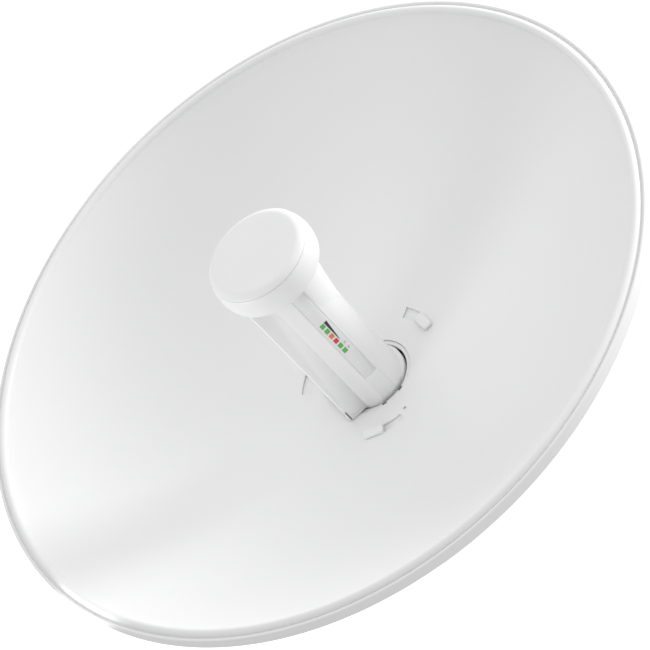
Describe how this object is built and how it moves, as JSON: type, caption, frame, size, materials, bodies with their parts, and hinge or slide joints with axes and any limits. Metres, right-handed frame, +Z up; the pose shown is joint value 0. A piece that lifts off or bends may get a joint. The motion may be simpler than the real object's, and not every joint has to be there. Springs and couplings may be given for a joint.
{
  "type": "outdoor wireless bridge",
  "caption": "Round white dish antenna with a radio standing in its middle, on a tilting bracket with a pole clamp",
  "frame": {"origin": "pole's centre, at the middle of the clamp's height", "axes": "+Z up along the pole, dish faces -Y, signal lamps on the +X side"},
  "size_m": [0.42, 0.244, 0.42],
  "materials": {
    "dish_paint": "satin white powder coat",
    "white_plastic": "satin white, UV-stable",
    "panel_plastic": "smooth light grey-white",
    "grey_plastic": "fine texture",
    "black_plastic": "matt black",
    "seal_rubber": "matt black rubber",
    "lamp_green": "clear tinted",
    "lamp_amber": "clear tinted",
    "lamp_red": "clear tinted",
    "cast_metal": "die cast, fine blasted",
    "galvanised": "zinc plated sheet",
    "zinc": "bright zinc",
    "spring_steel": "drawn wire",
    "bright_metal": "plain aluminium sheet",
    "brass": "turned brass",
    "board": "solder mask"
  },
  "bodies": {
    "pole_side": {"pole_bracket": "cast_metal", "pivot_bolt": "zinc", "lock_bolt": "zinc", "bolt_washers": "zinc", "bracket_nuts": "zinc", "flange_nuts": "zinc"},
    "jaw": {"clamp_jaw": "cast_metal", "carriage_bolts": "zinc"},
    "head": {"tilt_bracket": "galvanised", "hub_screws": "zinc", "hub_inserts": "brass", "rear_hub": "white_plastic"},
    "dish": {"dish_reflector": "dish_paint"},
    "radio": {"feed_housing": "white_plastic", "keel_cover": "white_plastic", "radome_cap": "white_plastic", "radome_ring": "white_plastic", "sub_reflector": "bright_metal", "feed_horn": "bright_metal", "led_panel": "panel_plastic", "lamp_green": "lamp_green", "lamp_amber": "lamp_amber", "lamp_red": "lamp_red", "main_board": "board", "board_screws": "zinc", "rf_shield": "bright_metal", "ethernet_jack": "black_plastic", "jack_contacts": "brass", "end_plate": "grey_plastic", "reset_switch": "black_plastic", "spigot_seal": "seal_rubber", "cover_screws": "zinc"},
    "latch": {"release_latch": "white_plastic", "latch_spring": "spring_steel"},
    "button": {"reset_button": "black_plastic"}
  },
  "joints": [
    {"name": "elevation", "type": "hinge", "parent": "pole_side", "child": "head", "pos_m": [0, -0.04, -0.015], "axis": [1, 0, 0], "range_deg": [-15, 15]},
    {"name": "jaw_slide", "type": "slide", "parent": "pole_side", "child": "jaw", "axis": [0, 1, 0], "range_m": [-0.012, 0.014]},
    {"name": "dish_twist", "type": "hinge", "parent": "head", "child": "dish", "pos_m": [0, -0.084, 0], "axis": [0, 1, 0], "range_deg": [0, 16]},
    {"name": "radio_pull", "type": "slide", "parent": "head", "child": "radio", "axis": [0, -1, 0], "range_m": [0, 0.03]},
    {"name": "latch_press", "type": "slide", "parent": "radio", "child": "latch", "axis": [0, 0, 1], "range_m": [0, 0.0008], "stiffness_N_per_m": 800, "springref_m": -0.0005, "deforming": ["latch_spring"]},
    {"name": "reset_press", "type": "slide", "parent": "radio", "child": "button", "axis": [0, -1, 0], "range_m": [0, 0.0007], "stiffness_N_per_m": 600, "springref_m": -0.0005}
  ]
}
